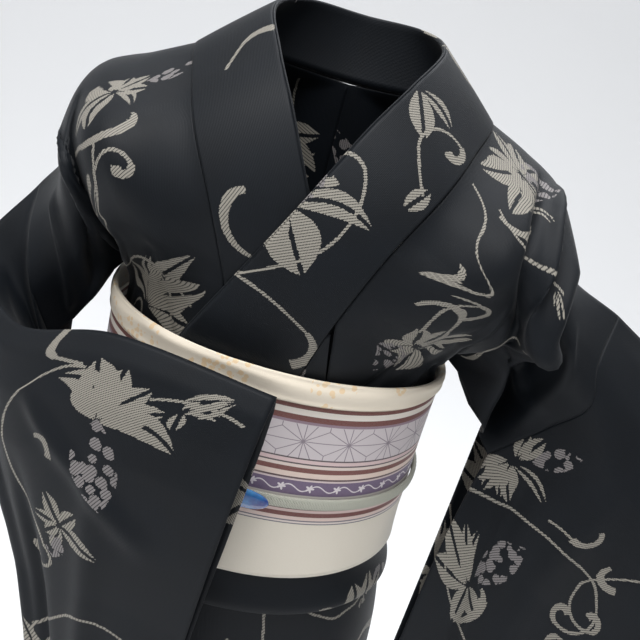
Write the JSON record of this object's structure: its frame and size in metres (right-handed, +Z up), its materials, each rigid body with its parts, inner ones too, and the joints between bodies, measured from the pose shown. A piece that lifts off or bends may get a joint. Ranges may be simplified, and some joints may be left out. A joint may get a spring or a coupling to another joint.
{
  "type": "kimono",
  "caption": "Worn kimono with wide hanging sleeves, crossed collar and wrapped skirt, closed by an obi with drum knot, scarf, braided cord and glass clip.",
  "frame": {"origin": "on the wearer's axis at the height of the neck points of the shoulders, where the wearer carries the garment", "axes": "+Z up, the front faces -Y, the wearer's left is +X"},
  "size_m": [0.7942, 0.363, 1.3487],
  "materials": {
    "kimono_cloth": "dark blue-black ribbed silk with an off-white woven arabesque",
    "obi_cloth": "cream silk with red-brown, mauve and lavender stripes",
    "scarf_cloth": "soft cream silk with a few orange spots",
    "cord_braid": "pale grey-green flat braid",
    "clip_glass": "polished blue glass"
  },
  "bodies": {
    "root": {"body_left": "kimono_cloth", "body_right": "kimono_cloth", "overlap_left": "kimono_cloth", "overlap_right": "kimono_cloth", "sleeve_left": "kimono_cloth", "sleeve_right": "kimono_cloth", "collar": "kimono_cloth", "over_collar": "kimono_cloth", "obi_band": "obi_cloth", "obi_drum": "obi_cloth", "obi_tail": "obi_cloth", "scarf": "scarf_cloth", "cord": "cord_braid", "clip": "clip_glass"}
  },
  "joints": []
}
